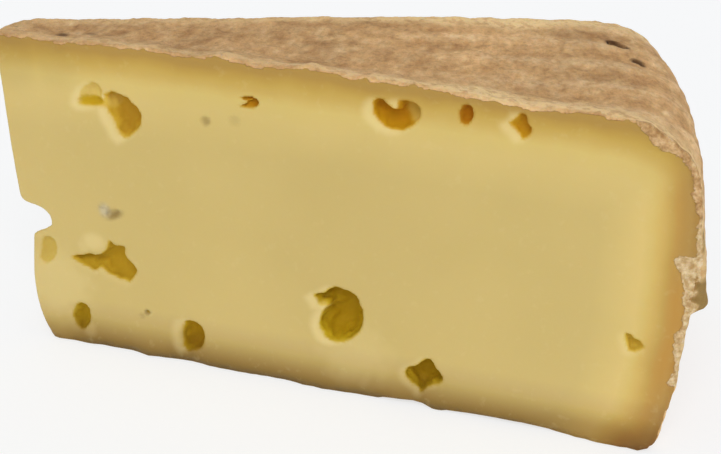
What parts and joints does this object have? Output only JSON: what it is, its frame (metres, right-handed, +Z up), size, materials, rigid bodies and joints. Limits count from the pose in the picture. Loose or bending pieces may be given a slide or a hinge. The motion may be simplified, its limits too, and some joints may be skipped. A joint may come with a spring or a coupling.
{
  "type": "wedge of tomme cheese",
  "caption": "Cheese wedge cut from a small pressed wheel: blunt tip, rounded rind on top and heel, and gas holes on its cut faces.",
  "frame": {"origin": "under the middle of the wedge's bounding box, on the surface that it stands on", "axes": "+X along the front cut from the tip to the heel, +Y from the front cut towards the back cut, +Z up out of the top rind"},
  "size_m": [0.126, 0.0553, 0.0612],
  "materials": {
    "cheese": "matte, slightly waxy ivory-yellow paste with a dry grey-brown rind on the top, bottom and heel"
  },
  "bodies": {
    "root": {"tomme_wedge": "cheese"}
  },
  "joints": []
}
